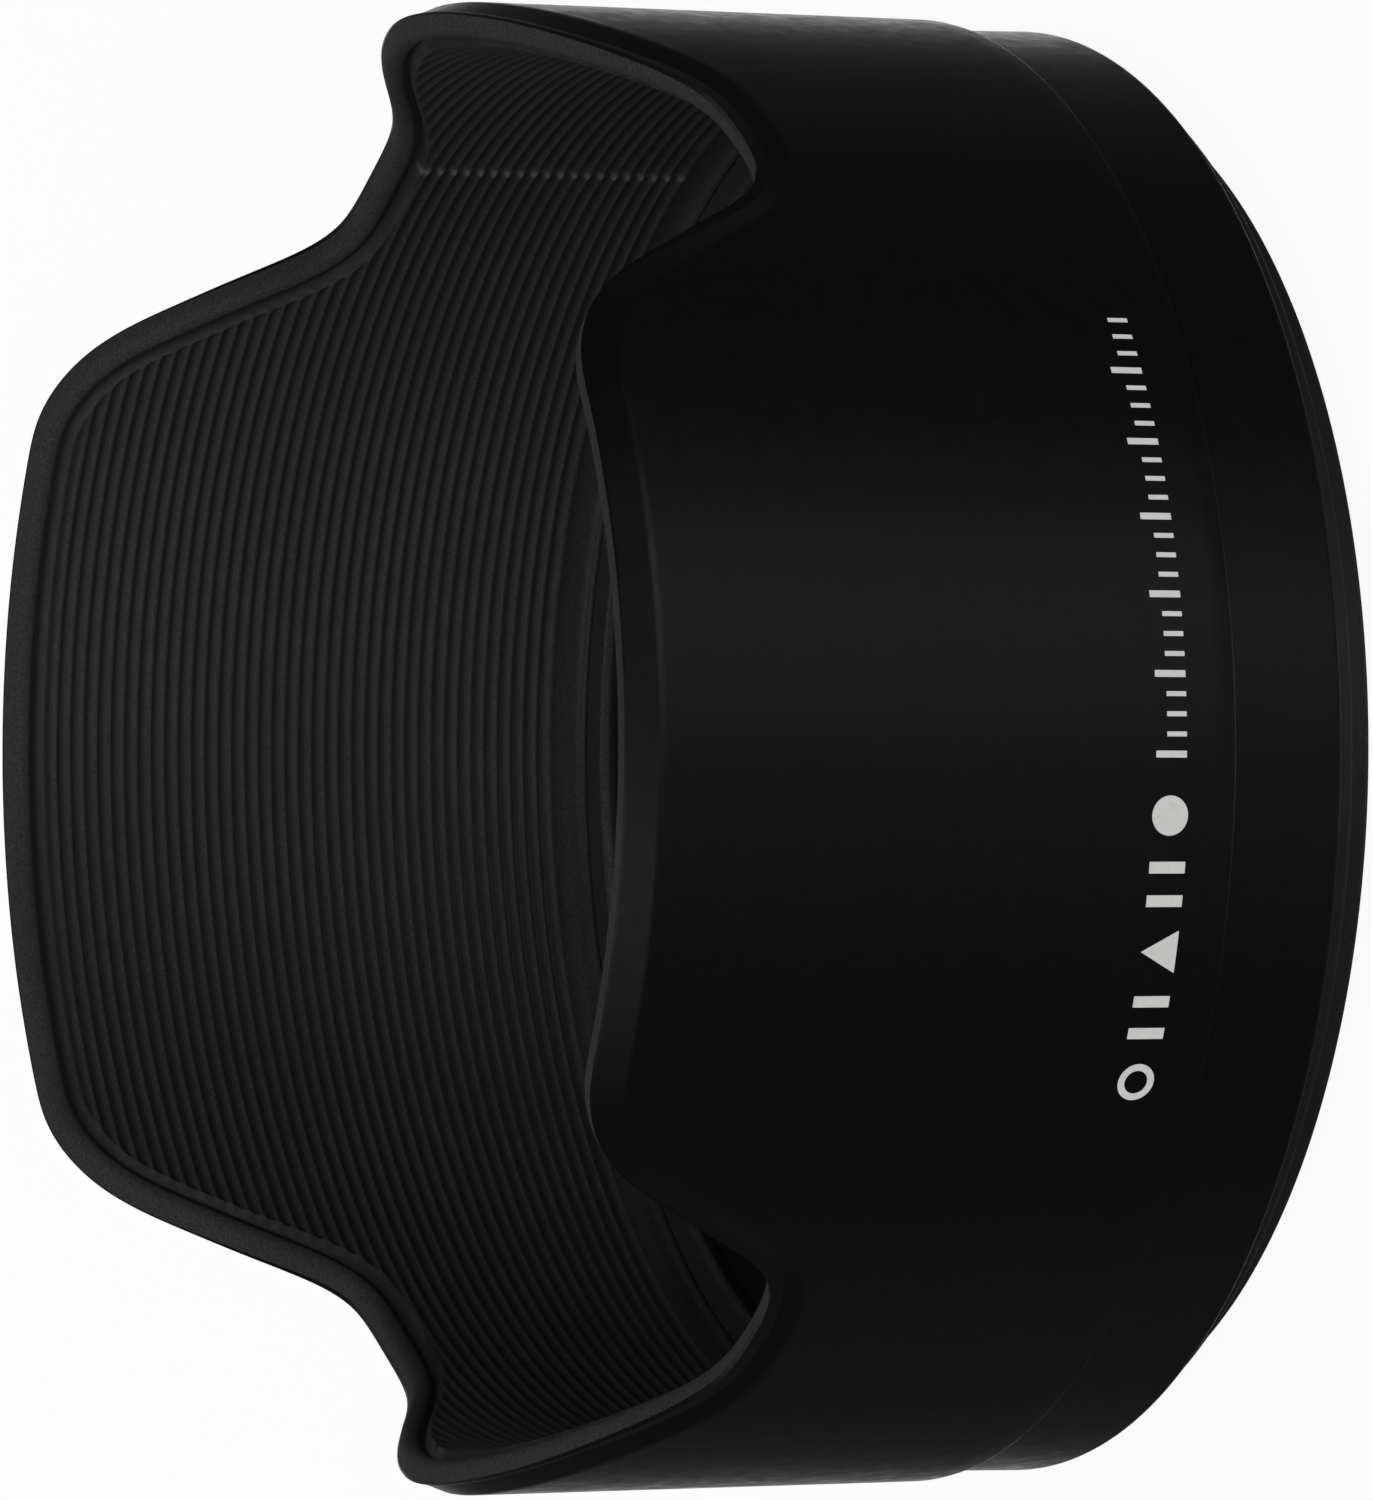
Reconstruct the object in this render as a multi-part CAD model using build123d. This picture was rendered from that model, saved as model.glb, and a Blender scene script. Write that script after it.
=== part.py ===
"""Petal lens hood with a bayonet ring and a push-button lock.

+Z is the optical axis, from the lens towards the scene; Z = 0 is the rear rim.
The long petals stand at +Y and -Y, the short ones at +X and -X. The lock sits
on the +Y side, the painted marks on the -Y side. Sizes are in mm. Angles are in
degrees from +Y towards +X, except those of the marks, from -Y towards +X.
"""
from build123d import *
import os
from math import radians, degrees, sin, cos

os.makedirs("parts", exist_ok=True)

# ---- outer shell; names in _R are radii, in _Z places along the axis
TIP_Z = 45.0                # leading edge of the long petals
TOP_Z = TIP_Z + 2           # turned blanks run past the petals, then are cut
STEP_Z = 9.6                # step between the barrel and the rear band
STEP_R = 39.0               # barrel outside radius at the step
FLARE = 0.0206              # barrel outside radius gained per mm forward
BAND_R = 38.45              # rear band, outside
SHELL_REAR_Z = 3.0
SHELL_BORE_R = 36.70        # bore that takes the bayonet ring
SHELL_SEAT_Z = 11.15        # the bore ends here; above it the wall takes the liner
WALL_IN_R = 38.00           # shell inside radius at the seat
WALL_IN_FLARE = 0.0147      # wall inside radius gained per mm forward
CREST_R = 39.0              # petal crest line
EDGE_CHAMFER_R = 0.69       # outer chamfer of the petal edge, radial
EDGE_CHAMFER_Z = 1.82       # and along the petal
LAP_GAP = 0.015             # the edge's step stands this far inside the crest

# ---- liner and petal edge
LINER_GAP = 0.03            # between the liner and the wall
RIB_R = 37.04               # radius over the rib crests at RIB_REF_Z
RIB_REF_Z = 24.6
RIB_DEPTH = 0.34
RIB_HALF_W = 0.27           # half width of a groove at its mouth
RIB_PITCH = 0.793
RIB_COUNT = 38
RIB_FIRST_Z = 43.06         # first groove, under the lip of a long petal
PLAIN_R = 37.25             # plain band behind the ribs
LIP_IN_R = 37.35
LIP_DROP = 1.9              # lip height, square to the petal edge
LIP_FLANGE = 1.0            # thickness of the flange that covers the shell's edge
SKIRT_R = 38.20             # outside of the skirt inside the shell

# ---- bayonet ring
RING_R = 36.60              # outside radius inside the shell
RING_TOP_Z = 11.12
FLANGE_R = 37.30
RIM_R = 35.50
MOUTH_R = 34.90             # front mouth of the ring
PILOT_R = 33.05             # pilot bore over the lens's 66 mm spigot
PILOT_Z0, PILOT_Z1 = 8.2, 9.8
CAVITY_R = 34.40            # bayonet cavity
LUG_IN_R = 33.20
LUG_Z0, LUG_Z1 = 1.2, 2.5
LUG_SPAN = 44.0             # degrees
LUG_AT = (30.0, 150.0, 270.0)
RING_SCREW_AT = (60.0, 180.0, 300.0)
RING_SCREW_Z = 5.4
RING_SCREW_R = 0.70         # shank
HEAD_SEAT_R = CAVITY_R + 0.72   # the ring screws' countersinks end here

# ---- lock
PIVOT_R = 36.10             # pivot pin's distance from the optical axis
PIN_R = 0.50
PIN_Z0, PIN_Z1 = 2.0, 8.0
LEVER_BORE_R = 0.55
LEVER_BOSS_R = 1.05
LEVER_Z0, LEVER_Z1 = 3.80, 7.20
LOCK_Z = (LEVER_Z0 + LEVER_Z1) / 2      # eye, stem, spring and cover screws
POCKET_Z0, POCKET_Z1 = 3.60, 7.40
LEVER_IN_R, LEVER_OUT_R = 35.50, 36.60
EYE_R = 1.45                # lever's eye, which takes the button's stem
TOOTH_AT = -13.0
TOOTH_TIP_R = 33.50
BUTTON_AT = 12.0
BUTTON_W = 8.6
BUTTON_Z0, BUTTON_Z1 = 4.0, 8.6
BUTTON_H = BUTTON_Z1 - BUTTON_Z0
BUTTON_MID_Z = (BUTTON_Z0 + BUTTON_Z1) / 2
BUTTON_IN_R = LEVER_OUT_R + 0.02
BUTTON_PROUD = 0.75         # above the rear band
STEM_IN_R = 35.80
SPRING_BORE_END_R = 38.05   # end of the button's blind bore
WINDOW_GAP = 0.28           # beside the button, so that it can swing inward
WINDOW_GAP_Z = 0.12         # before and behind the button
SPRING_R = 0.95             # outside of the coil
SPRING_WIRE_R = 0.13
SPRING_TURNS = 4.5
SPRING_END_GAP = 0.02
COVER_IN_R, COVER_OUT_R = 34.42, 34.92
COVER_SPAN = 48.0           # degrees
COVER_Z0, COVER_Z1 = 2.9, 8.0
COVER_SCREW_AT = (-22.0, 22.0)
COVER_SCREW_R = 0.50        # shank

# ---- painted marks
MARK_DEPTH = 0.06
MARK_Z = 13.5
MARK_BAND_HALF = 1.6        # half height of the skin that the marks are cut from
MARK_HALF = 1.05            # half height of the bars and triangle, circles' radius
TICK_COUNT = 24
TICK_FIRST_AT = -2.3
TICK_STEP = 35.4 / (TICK_COUNT - 1)
BARS_AT = (-24.2, -21.6, -13.6, -11.0)
TRIANGLE_AT = -17.6
OPEN_RING_AT = -28.3
DOT_AT = -7.0

# Petal outline over one quarter: (degrees from the long petal's centre line,
# distance of the crest behind the long petal's leading edge).
OUTLINE = [
    (0, 0.0), (9, 0.0), (18, 0.0), (24, 0.0), (26.5, 0.0), (28.5, 0.07), (30.6, 0.38),
    (32.8, 1.02), (35.1, 2.12), (37.5, 3.95), (39.9, 6.5), (42.4, 9.3),
    (44.6, 11.75), (46.5, 13.4), (48.4, 14.3), (50.7, 14.66), (54.0, 14.74),
    (57.5, 14.66), (60.8, 14.3), (64.6, 13.2), (69.0, 11.55), (74.4, 9.75),
    (80.0, 8.4), (85.0, 7.55), (90.0, 7.25)]
OUTLINE_STEPS = 32          # steps in which the outline is sampled

FLAT_OUTLINE = Edge.make_spline(
    [Vector(CREST_R * radians(angle), TIP_Z - drop, 0) for angle, drop in OUTLINE],
    tangents=[Vector(1, 0, 0), Vector(1, 0, 0)])


# ------------------------------------------------------------ basic shapes
def polar(r, angle, z):
    return (r * sin(radians(angle)), r * cos(radians(angle)), z)


def polygon_face(points):
    return Face(Wire.make_polygon([Vector(p) for p in points], close=True))


def turned(profile):
    """Revolve an (r, z) polygon about the optical axis."""
    return Solid.revolve(polygon_face([(r, 0, z) for r, z in profile]), 360, Axis.Z)


def sector(r0, r1, angle0, angle1, z0, z1):
    """Block between two radii, two angles and two heights."""
    mid = (angle0 + angle1) / 2
    inner0, inner_mid, inner1 = (Vector(*polar(r0, a, z0)) for a in (angle0, mid, angle1))
    outer0, outer_mid, outer1 = (Vector(*polar(r1, a, z0)) for a in (angle0, mid, angle1))
    border = Wire([
        Edge.make_three_point_arc(inner0, inner_mid, inner1),
        Edge.make_line(inner1, outer1),
        Edge.make_three_point_arc(outer1, outer_mid, outer0),
        Edge.make_line(outer0, inner0)])
    return Solid.extrude(Face(border), Vector(0, 0, z1 - z0))


def radial_plane(r, angle, z):
    """Plane whose normal points away from the optical axis; its y is -Z."""
    a = radians(angle)
    return Plane(origin=polar(r, angle, z), x_dir=(cos(a), -sin(a), 0), z_dir=(sin(a), cos(a), 0))


def radial_cylinder(rad, r0, r1, angle, z):
    return Solid.make_cylinder(rad, r1 - r0, radial_plane(r0, angle, z))


def radial_cone(rad0, rad1, r0, r1, angle, z):
    return Solid.make_cone(rad0, rad1, r1 - r0, radial_plane(r0, angle, z))


def axial_cylinder(rad, z0, z1):
    """Cylinder on the lock's pivot, parallel to the optical axis."""
    return Solid.make_cylinder(rad, z1 - z0, Plane(origin=(0, PIVOT_R, z0)))


def box_on(plane, size, at_x=0, at_z=0):
    """Box standing on a plane, centred in its x and y, shifted by at_x and at_z."""
    width, depth, height = size
    corner = (plane.origin + plane.z_dir * at_z + plane.x_dir * (at_x - width / 2)
              - plane.y_dir * (depth / 2))
    return Solid.make_box(width, depth, height,
                          Plane(origin=corner, x_dir=plane.x_dir, z_dir=plane.z_dir))


def cut_all(shape, cutters):
    for cutter in cutters:
        shape = shape.cut(cutter)
    return shape


def common(shape, tools):
    """The solids shared by the shape and each of the tools."""
    shared = []
    for tool in tools:
        got = shape.intersect(tool)
        if got is None:
            continue
        for item in (got if isinstance(got, (list, ShapeList)) else [got]):
            shared += list(item.solids())
    return shared


def largest_solid(shape):
    """The main solid; anything beside it may only be a sliver."""
    solids = shape.solids()
    main = max(solids, key=lambda s: s.volume)
    assert sum(s.volume for s in solids) - main.volume < 0.5
    return main


def save(shape, node):
    export_step(shape, f"parts/{node}.step")


def shell_out_r(z):
    return STEP_R + FLARE * (z - STEP_Z)


def wall_in_r(z):
    return WALL_IN_R + WALL_IN_FLARE * (z - SHELL_SEAT_Z)


def rib_r(z):
    return RIB_R + WALL_IN_FLARE * (z - RIB_REF_Z)


# ------------------------------------------------------- the petal outline
# A section is a list of (r, offset): radius, and distance into the wall
# measured square to the outline unrolled at the crest radius.
def outline_points(offset):
    """The offset outline as (angle, z) over one quarter."""
    points = []
    for i in range(OUTLINE_STEPS + 1):
        t = i / OUTLINE_STEPS
        along = FLAT_OUTLINE.tangent_at(t)
        into_wall = Vector(along.Y, -along.X, 0)
        p = FLAT_OUTLINE.position_at(t) + into_wall * offset
        points.append((degrees(p.X / CREST_R), p.Y))
    points[0] = (0.0, points[0][1])
    points[-1] = (90.0, points[-1][1])
    return points


def quarter_curve(r, offset):
    points = [Vector(*polar(r, angle, z)) for angle, z in outline_points(offset)]
    return Edge.make_spline(points, tangents=[Vector(1, 0, 0), Vector(0, -1, 0)])


def closed_solid(faces):
    solid = Solid(Shell(faces))
    if solid.volume < 0:
        solid = Solid(Shell([-f for f in faces]))
    return solid


def four_quarters(quarter):
    out = [quarter, quarter.mirror(Plane.YZ)]
    out += [s.mirror(Plane.XZ) for s in list(out)]
    assert all(s.volume > 0 for s in out)
    return out


def outline_band(section):
    """A closed section carried round the petal outline."""
    curves = [quarter_curve(r, offset) for r, offset in section]
    faces = [Face.make_surface_from_curves(a, b)
             for a, b in zip(curves, curves[1:] + curves[:1])]
    for end in (0, 1):
        faces.append(polygon_face([c.position_at(end) for c in curves]))
    quarters = four_quarters(closed_solid(faces))
    return quarters[0].fuse(*quarters[1:])


def above_section(section, height=60):
    """Everything above an open section carried round the outline, in quarters."""
    curves = [quarter_curve(r, offset) for r, offset in section]
    up = Vector(0, 0, height)
    high = [c.moved(Location(up)) for c in (curves[0], curves[-1])]
    pairs = list(zip(curves, curves[1:]))
    pairs += [(curves[0], high[0]), (curves[-1], high[1]), (high[0], high[1])]
    faces = [Face.make_surface_from_curves(a, b) for a, b in pairs]
    for end in (0, 1):
        low = [c.position_at(end) for c in curves]
        faces.append(polygon_face(low + [low[-1] + up, low[0] + up]))
    return four_quarters(closed_solid(faces))


def facet_cutter(offset, r0, r1, top_z=80.0):
    """Everything above the offset outline, as one many-faced block per quarter."""
    points = outline_points(offset)
    faces = []
    for (a0, z0), (a1, z1) in zip(points, points[1:]):
        in0, in1, out0, out1 = polar(r0, a0, z0), polar(r0, a1, z1), polar(r1, a0, z0), polar(r1, a1, z1)
        in0_top, in1_top = polar(r0, a0, top_z), polar(r0, a1, top_z)
        out0_top, out1_top = polar(r1, a0, top_z), polar(r1, a1, top_z)
        faces += [polygon_face(corners) for corners in (
            (in0, out0, out1), (in0, out1, in1),
            (in0, in1, in1_top, in0_top),
            (out0, out1, out1_top, out0_top),
            (in0_top, in1_top, out1_top, out0_top))]
    for a, z in (points[0], points[-1]):
        faces.append(polygon_face([
            polar(r0, a, z), polar(r1, a, z), polar(r1, a, top_z), polar(r0, a, top_z)]))
    return four_quarters(closed_solid(faces))


# ----------------------------------------------------------- painted marks
def bar(angle, width, z0, z1):
    """A bar across the barrel's surface, width measured round the barrel."""
    half = degrees(width / 2 / STEP_R)
    a = 180 - angle
    return sector(STEP_R - 1, STEP_R + 2, a - half, a + half, z0, z1)


def mark_prism(face, angle):
    """A flat face stood on the barrel and extruded outward through its surface."""
    plane = radial_plane(STEP_R - 1, 180 - angle, MARK_Z)
    return Solid.extrude(plane.from_local_coords(face), plane.z_dir * 3)


def painted_marks():
    """Node name -> solids of paint, cut from a thin skin of the barrel."""
    ticks = []
    for i in range(TICK_COUNT):
        width, rise = (0.36, 0.9) if i % 4 == 0 else (0.26, 0.25)
        ticks.append(bar(TICK_FIRST_AT + TICK_STEP * i, width, MARK_Z - 0.9, MARK_Z + rise))
    for angle in BARS_AT:       # thick bars either side of the triangle
        ticks.append(bar(angle, 0.62, MARK_Z - MARK_HALF, MARK_Z + MARK_HALF))
    triangle = polygon_face([(-1.15, -MARK_HALF, 0), (1.15, -MARK_HALF, 0), (0, MARK_HALF, 0)])
    circle = Wire.make_circle(MARK_HALF, Plane.XY)
    open_ring = Face(circle, [Wire.make_circle(0.66, Plane.XY)])
    dot = Face(Wire.make_circle(MARK_HALF, Plane.XY))
    tools = {
        "scale_ticks": ticks,
        "index_triangle": [mark_prism(triangle, TRIANGLE_AT)],
        "lock_circle_marks": [mark_prism(open_ring, OPEN_RING_AT), mark_prism(dot, DOT_AT)]}
    z0, z1 = MARK_Z - MARK_BAND_HALF, MARK_Z + MARK_BAND_HALF
    skin = turned([
        (shell_out_r(z0) - MARK_DEPTH, z0), (shell_out_r(z0), z0),
        (shell_out_r(z1), z1), (shell_out_r(z1) - MARK_DEPTH, z1)])
    return {node: common(skin, shapes) for node, shapes in tools.items()}


# --------------------------------------------------- shell, liner and trim
def button_window():
    plane = radial_plane(35.0, BUTTON_AT, BUTTON_MID_Z)
    return box_on(plane, (BUTTON_W + 2 * WINDOW_GAP, BUTTON_H + 2 * WINDOW_GAP_Z, 8))


def outer_shell(marks):
    shell = turned([
        (SHELL_BORE_R, SHELL_REAR_Z), (BAND_R - 0.5, SHELL_REAR_Z),
        (BAND_R - 0.15, SHELL_REAR_Z + 0.15), (BAND_R, SHELL_REAR_Z + 0.5),
        (BAND_R, STEP_Z), (STEP_R - 0.12, STEP_Z), (STEP_R, STEP_Z + 0.12),
        (shell_out_r(TOP_Z), TOP_Z), (wall_in_r(TOP_Z), TOP_Z),
        (WALL_IN_R, SHELL_SEAT_Z), (SHELL_BORE_R, SHELL_SEAT_Z)])
    # petal edge: a ledge for the trim's flange, then the outer chamfer
    lap_r = CREST_R - LAP_GAP
    far_r = 40.2
    slope = EDGE_CHAMFER_Z / (EDGE_CHAMFER_R + LAP_GAP)
    shell = cut_all(shell, above_section([
        (34.0, LIP_FLANGE), (lap_r, LIP_FLANGE), (lap_r, 0.0), (far_r, slope * (far_r - lap_r))]))
    shell = shell.cut(button_window())
    # relief for the lever
    shell = shell.cut(sector(36.0, 37.65, TOOTH_AT - 5, BUTTON_AT - 3, POCKET_Z0, POCKET_Z1))
    # blind holes for the ring screws
    for angle in RING_SCREW_AT:
        shell = shell.cut(radial_cylinder(RING_SCREW_R + 0.02, 36.0, 37.75, angle, RING_SCREW_Z))
    # shallow recesses that hold the paint
    for solids in marks.values():
        shell = cut_all(shell, solids)
    return largest_solid(shell)


def ribbed_liner():
    base_z = SHELL_SEAT_Z + 0.02
    profile = [(wall_in_r(base_z) - LINER_GAP, base_z), (wall_in_r(TOP_Z) - LINER_GAP, TOP_Z),
               (rib_r(TOP_Z), TOP_Z)]
    for i in range(RIB_COUNT):
        z = RIB_FIRST_Z - RIB_PITCH * i
        r = rib_r(z)
        profile += [(r, z + RIB_HALF_W), (r + RIB_DEPTH, z), (r, z - RIB_HALF_W)]
    profile += [(r, z - 0.62), (PLAIN_R, z - 0.80), (PLAIN_R, base_z)]
    return largest_solid(cut_all(turned(profile), facet_cutter(LIP_DROP + 0.22, 30.0, 42.0)))


def edge_trim():
    """Bead over the petal edges: flange on the shell's edge, skirt inside."""
    skirt_end = LIP_DROP - 0.05
    flange_under = LIP_FLANGE - 0.02
    out_r = CREST_R - 0.04
    return largest_solid(outline_band([
        (LIP_IN_R, skirt_end), (LIP_IN_R, 1.05), (37.55, 0.62), (37.95, 0.26), (38.45, 0.06),
        (out_r, 0.0), (out_r, flange_under), (SKIRT_R, flange_under), (SKIRT_R, skirt_end)]))


# ------------------------------------------------------------ bayonet ring
def bayonet_ring():
    flange_top_z = SHELL_REAR_Z - 0.02
    ring = turned([
        (CAVITY_R, 0.35), (CAVITY_R + 0.25, 0), (RIM_R - 0.45, 0), (RIM_R, 0.45), (RIM_R, 1.85),
        (FLANGE_R - 0.4, 1.85), (FLANGE_R, 2.25), (FLANGE_R, flange_top_z),
        (RING_R, flange_top_z), (RING_R, RING_TOP_Z), (MOUTH_R + 0.12, RING_TOP_Z),
        (MOUTH_R, RING_TOP_Z - 0.12), (MOUTH_R, PILOT_Z1),
        (PILOT_R, PILOT_Z1), (PILOT_R, PILOT_Z0), (CAVITY_R, PILOT_Z0)])
    # lugs, each with a notch in its front face at one end
    for angle in LUG_AT:
        start = angle - LUG_SPAN / 2
        lug = sector(LUG_IN_R, CAVITY_R + 0.3, start, angle + LUG_SPAN / 2, LUG_Z0, LUG_Z1)
        lug = lug.cut(sector(LUG_IN_R - 1, CAVITY_R + 1, start - 4, start + 1.2,
                             LUG_Z1 - 0.35, LUG_Z1 + 1))
        ring = ring.fuse(lug)
    # pocket of the lock, recess for the cover, button window and pin hole
    ring = ring.cut(sector(34.0, 38.0, TOOTH_AT - 5, BUTTON_AT + 8.2, POCKET_Z0, POCKET_Z1))
    half = COVER_SPAN / 2 + 0.1
    ring = ring.cut(sector(34.0, COVER_OUT_R + 0.02, -half, half,
                           COVER_Z0 - 0.03, COVER_Z1 + 0.03))
    ring = ring.cut(button_window())
    ring = ring.cut(axial_cylinder(PIN_R + 0.01, 1.5, PIN_Z1 + 0.1))
    # screw holes
    hole_r = RING_SCREW_R + 0.12
    for angle in RING_SCREW_AT:
        ring = ring.cut(radial_cylinder(hole_r, 34.0, 37.0, angle, RING_SCREW_Z))
        ring = ring.cut(radial_cone(1.66, hole_r, CAVITY_R - 0.12, HEAD_SEAT_R,
                                    angle, RING_SCREW_Z))
    for angle in COVER_SCREW_AT:
        ring = ring.cut(radial_cylinder(COVER_SCREW_R + 0.02, 34.5, 36.4, angle, LOCK_Z))
    return largest_solid(ring)


def cross_screws(angles, z, head_rad, shank_rad, head_r, shank_r, slot_r, slot):
    """Radial countersunk screws; head_r and shank_r are (inner, outer) radii."""
    screws = []
    for angle in angles:
        screw = radial_cone(head_rad, shank_rad, *head_r, angle, z)
        screw = screw.fuse(radial_cylinder(shank_rad, *shank_r, angle, z))
        for turn in (0, 90):
            screw = screw.cut(box_on(radial_plane(slot_r, angle, z).rotated((0, 0, turn)), slot))
        screws.append(largest_solid(screw))
    return Compound(screws)


def ring_screws():
    return cross_screws(
        RING_SCREW_AT, RING_SCREW_Z, head_rad=1.43, shank_rad=RING_SCREW_R,
        head_r=(CAVITY_R + 0.02, HEAD_SEAT_R), shank_r=(CAVITY_R + 0.6, 37.6),
        slot_r=CAVITY_R - 0.1, slot=(1.5, 0.28, 0.5))


def cover_screws():
    return cross_screws(
        COVER_SCREW_AT, LOCK_Z, head_rad=0.96, shank_rad=COVER_SCREW_R,
        head_r=(COVER_IN_R + 0.01, COVER_IN_R + 0.43), shank_r=(COVER_IN_R + 0.35, 36.3),
        slot_r=COVER_IN_R - 0.1, slot=(1.0, 0.18, 0.35))


# -------------------------------------------------------------------- lock
def pivot_pin():
    pin = axial_cylinder(PIN_R, PIN_Z0, PIN_Z1)
    pin = pin.chamfer(0.12, None, list(pin.edges().filter_by(GeomType.CIRCLE)))
    return largest_solid(pin)


def latch_lever():
    """Curved arm, boss round the pin, tooth, and an eye for the button."""
    lever = sector(LEVER_IN_R, LEVER_OUT_R, TOOTH_AT - 3.2, BUTTON_AT + 3.4, LEVER_Z0, LEVER_Z1)
    lever = lever.fuse(axial_cylinder(LEVER_BOSS_R, LEVER_Z0, LEVER_Z1))
    lever = lever.fuse(sector(TOOTH_TIP_R, LEVER_IN_R + 0.2, TOOTH_AT - 1.5, TOOTH_AT + 1.3,
                              LEVER_Z0 + 0.2, LEVER_Z1 - 0.9))
    lever = lever.cut(axial_cylinder(LEVER_BORE_R, -2, 18))
    lever = lever.cut(radial_cylinder(EYE_R, 34.0, 38.0, BUTTON_AT, LOCK_Z))
    # room to swing inward
    lever = lever.cut(sector(35.0, STEM_IN_R, BUTTON_AT - 3.4, BUTTON_AT + 5,
                             LEVER_Z0 - 1, LEVER_Z1 + 1))
    return largest_solid(lever)


def release_button():
    """Cap in the shell's window, hollow stem in the lever's eye."""
    base = radial_plane(BUTTON_IN_R, BUTTON_AT, BUTTON_MID_Z)
    outward = base.z_dir
    height = BAND_R + BUTTON_PROUD - BUTTON_IN_R
    button = box_on(base, (BUTTON_W, BUTTON_H, height))
    side_edges = [e for e in button.edges()
                  if abs(abs(e.tangent_at(0.5).dot(outward)) - 1) < 1e-6]
    button = button.fillet(0.6, side_edges)
    outer_face = max(button.faces(), key=lambda f: f.center().dot(outward))
    button = button.fillet(0.3, list(outer_face.edges()))
    # grip grooves
    pitch, depth = 1.5, 0.22
    for k in (-1.5, -0.5, 0.5, 1.5):
        button = button.cut(box_on(base, (0.44, 3.0, 1.0), at_x=k * pitch, at_z=height - depth))
    # stem, then the blind bore that holds the spring
    button = button.fuse(radial_cylinder(EYE_R - 0.03, STEM_IN_R, LEVER_OUT_R + 0.3,
                                         BUTTON_AT, LOCK_Z))
    button = button.cut(radial_cylinder(SPRING_R + 0.2, 34.5, SPRING_BORE_END_R,
                                        BUTTON_AT, LOCK_Z))
    return largest_solid(button)


def latch_spring():
    """Coil between the cover and the end of the button's bore."""
    start_r = COVER_OUT_R + SPRING_WIRE_R + SPRING_END_GAP
    end_r = SPRING_BORE_END_R - SPRING_WIRE_R - SPRING_END_GAP
    height = end_r - start_r
    helix = Edge.make_helix(pitch=height / SPRING_TURNS, height=height,
                            radius=SPRING_R - SPRING_WIRE_R)
    wire_plane = Plane(origin=helix.position_at(0), z_dir=helix.tangent_at(0))
    coil = Solid.sweep(Face(Wire.make_circle(SPRING_WIRE_R, wire_plane)), Wire([helix]))
    return largest_solid(coil.moved(radial_plane(start_r, BUTTON_AT, LOCK_Z).location))


def latch_cover():
    """Plate inside the bayonet cavity, with a slot for the tooth."""
    half = COVER_SPAN / 2
    cover = sector(COVER_IN_R, COVER_OUT_R, -half, half, COVER_Z0, COVER_Z1)
    cover = cover.cut(sector(33.0, 36.0, TOOTH_AT - 2.6, TOOTH_AT + 2.0,
                             LEVER_Z0, LEVER_Z1 - 0.6))
    hole_r = COVER_SCREW_R + 0.05
    for angle in COVER_SCREW_AT:
        cover = cover.cut(radial_cylinder(hole_r, 34.0, 36.0, angle, LOCK_Z))
        cover = cover.cut(radial_cone(1.02, hole_r, COVER_IN_R - 0.02, COVER_IN_R + 0.42,
                                      angle, LOCK_Z))
    return largest_solid(cover)


marks = painted_marks()
save(outer_shell(marks), "outer_shell")
for node, solids in marks.items():
    save(Compound(solids) if len(solids) > 1 else solids[0], node)
for piece in (ribbed_liner, edge_trim, bayonet_ring, ring_screws, pivot_pin, latch_lever,
              release_button, latch_spring, latch_cover, cover_screws):
    save(piece(), piece.__name__)
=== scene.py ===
"""Petal lens hood standing on its mount: the axis is +Z, the mount end is at z = 0 and the
petal tips reach z = 45 mm. The long petals are on +Y and -Y, the short ones on +X and -X.
The latch sits 12 degrees from +Y towards +X, the printed marks on the -Y side.
Sizes are in mm and are scaled by MM when a mesh is made. Angles on the hood run from +Y
towards +X unless noted."""
import math

import bmesh
import bpy
import numpy as np
from mathutils import Matrix, Vector


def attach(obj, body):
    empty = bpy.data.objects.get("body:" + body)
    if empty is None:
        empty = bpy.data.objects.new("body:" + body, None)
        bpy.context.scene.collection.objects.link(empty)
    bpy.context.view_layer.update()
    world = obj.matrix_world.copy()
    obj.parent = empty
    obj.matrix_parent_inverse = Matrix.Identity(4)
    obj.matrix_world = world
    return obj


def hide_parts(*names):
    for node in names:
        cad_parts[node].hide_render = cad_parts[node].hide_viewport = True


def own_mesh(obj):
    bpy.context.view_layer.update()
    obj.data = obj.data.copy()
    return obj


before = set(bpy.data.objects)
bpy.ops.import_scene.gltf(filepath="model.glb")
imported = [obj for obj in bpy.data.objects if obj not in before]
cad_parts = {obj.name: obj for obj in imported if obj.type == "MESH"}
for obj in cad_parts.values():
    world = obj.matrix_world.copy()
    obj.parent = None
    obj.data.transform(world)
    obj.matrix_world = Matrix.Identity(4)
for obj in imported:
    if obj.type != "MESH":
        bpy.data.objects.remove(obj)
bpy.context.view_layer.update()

MM = 0.001

# ------------------------------------------------------------ shared sizes
TIP_Z = 45.0
REAR_Z = 3.0                # rear end of the barrel
STEP_Z = 9.6                # the barrel steps out from the rear band here
SEAT_Z = 11.15              # inner shoulder that carries the liner
BORE_R = 36.70
BAND_R = 38.45
STEP_R = 39.0
OUTER_FLARE = 0.0206        # growth in radius per mm of height
WALL_IN_R = 38.0            # inner wall at the seat
INNER_FLARE = 0.0147
CREST_R = 39.0              # radius on which the petal edge is drawn
LATCH_ANGLE = 12.0

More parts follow.
